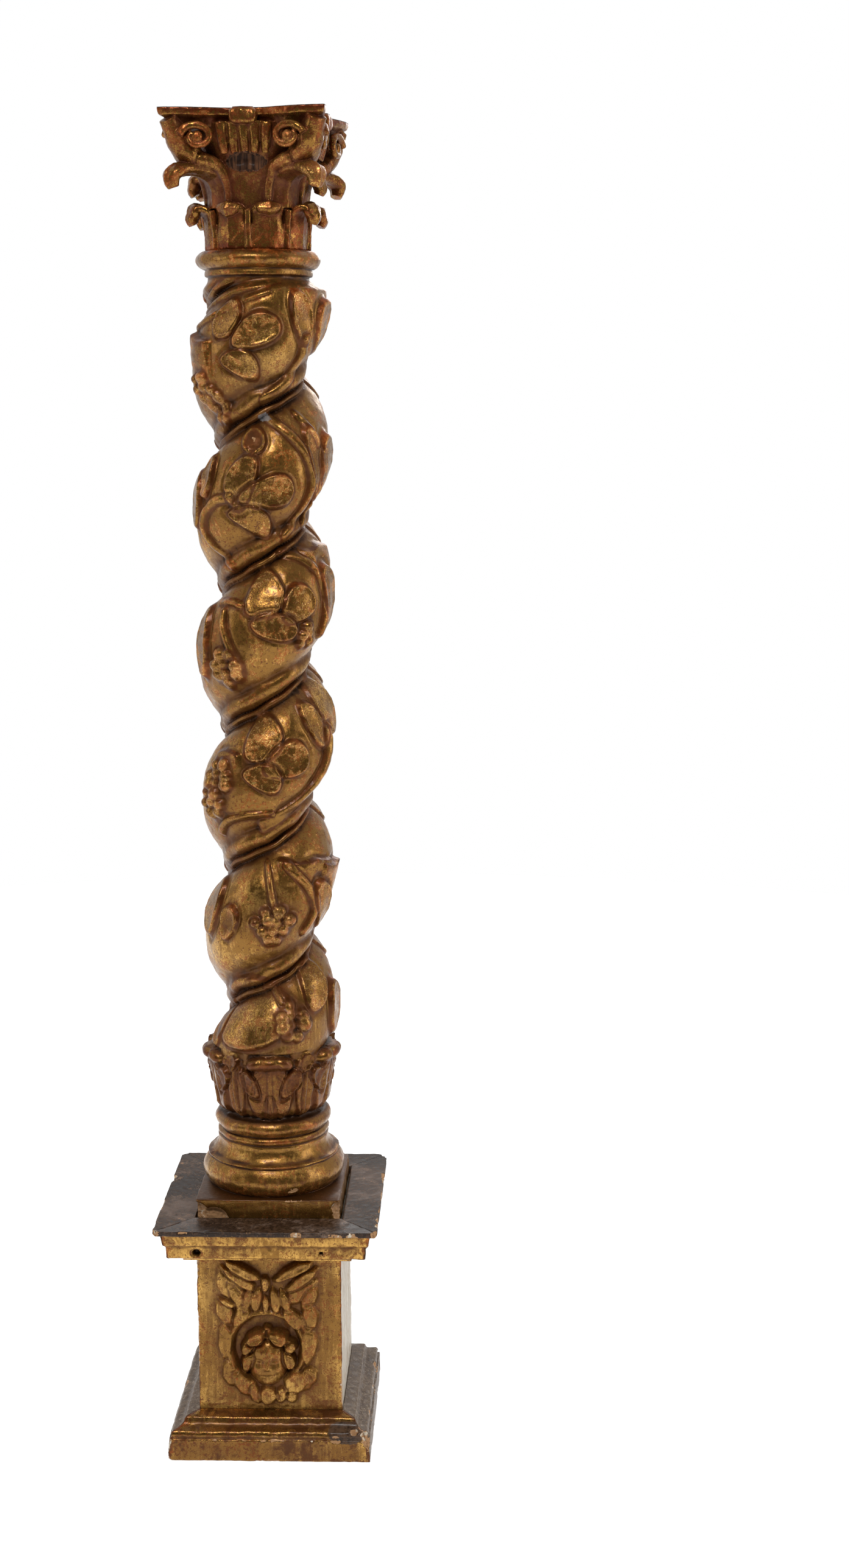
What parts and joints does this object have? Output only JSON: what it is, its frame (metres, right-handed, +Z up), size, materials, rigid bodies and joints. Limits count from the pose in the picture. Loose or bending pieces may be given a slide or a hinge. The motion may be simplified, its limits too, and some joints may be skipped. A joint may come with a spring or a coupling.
{
  "type": "barley twist column",
  "caption": "Carved and gilded twisted column with vine and grapes, leafy capital and square pedestal with a cherub relief.",
  "frame": {"origin": "centre of the pedestal's underside, on the floor", "axes": "+Z up along the column, -Y out of the carved front of the pedestal, +X to the right seen from the front"},
  "size_m": [0.2288, 0.2288, 1.3505],
  "materials": {
    "gilt_shaft": "worn water gilding over red bole, brown glaze in the hollows",
    "gilt_capital": "red-brown bole with remains of gold leaf",
    "gilt_die": "worn yellow gilding on the front, bare wood on the sides",
    "gilt_moulding": "gilded front edges, dark paint on top, chipped corners"
  },
  "bodies": {
    "root": {"column": "gilt_shaft", "capital": "gilt_capital", "pedestal_die": "gilt_die", "cornice_front": "gilt_moulding", "cornice_right": "gilt_moulding", "cornice_back": "gilt_moulding", "cornice_left": "gilt_moulding", "foot_front": "gilt_moulding", "foot_right": "gilt_moulding", "foot_back": "gilt_moulding", "foot_left": "gilt_moulding"}
  },
  "joints": []
}
